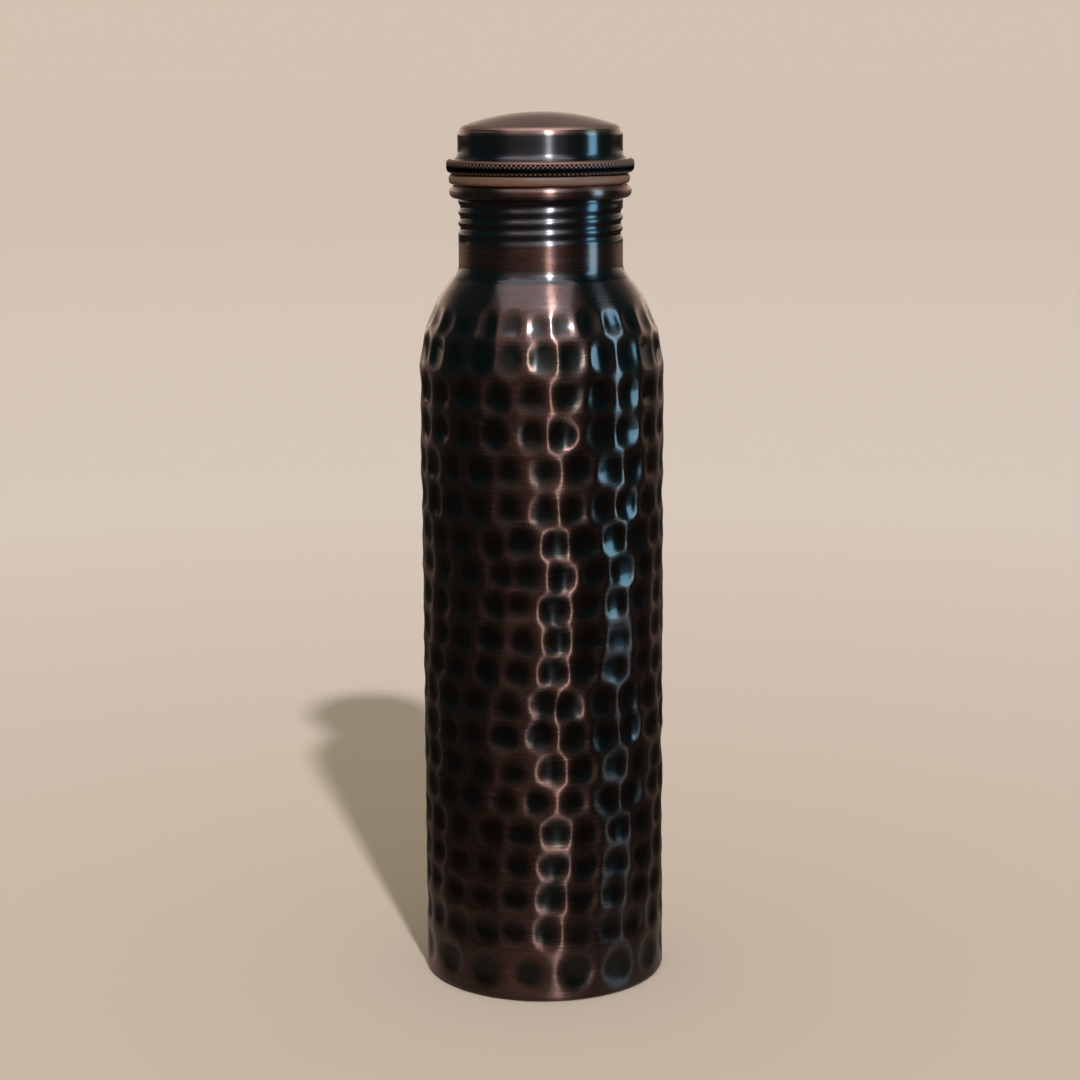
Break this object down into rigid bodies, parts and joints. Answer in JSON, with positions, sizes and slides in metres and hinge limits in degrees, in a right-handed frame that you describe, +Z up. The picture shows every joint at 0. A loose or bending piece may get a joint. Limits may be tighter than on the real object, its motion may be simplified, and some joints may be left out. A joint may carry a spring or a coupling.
{
  "type": "water bottle",
  "caption": "Tall round copper water bottle with a hammered body, a rolled screw neck and a domed plug cap with a silicone gasket.",
  "frame": {"origin": "centre of the foot, on the surface that the bottle stands on", "axes": "+Z up the bottle's axis, from the foot to the top of the cap; -Y is the side seen from the front"},
  "size_m": [0.072, 0.072, 0.258],
  "materials": {
    "hammered_copper": "satin",
    "base_copper": "satin",
    "cap_copper": "satin",
    "plug_copper": "satin",
    "silicone": "matte"
  },
  "bodies": {
    "bottle": {"bottle_shell": "hammered_copper", "base_disc": "base_copper"},
    "seal": {"gasket_ring": "silicone"},
    "cap": {"cap_crown": "cap_copper", "cap_plug": "plug_copper"}
  },
  "joints": [
    {"name": "cap_rise", "type": "slide", "parent": "bottle", "child": "seal", "axis": [0, 0, 1], "range_m": [0, 0.0217]},
    {"name": "cap_turn", "type": "hinge", "parent": "seal", "child": "cap", "pos_m": [0, 0, 0.2388], "axis": [0, 0, 1], "range_deg": [0, 2520]}
  ],
  "couplings": [
    {"joint": "cap_rise", "follows": "cap_turn", "m_per_rad": 0.00049338}
  ]
}
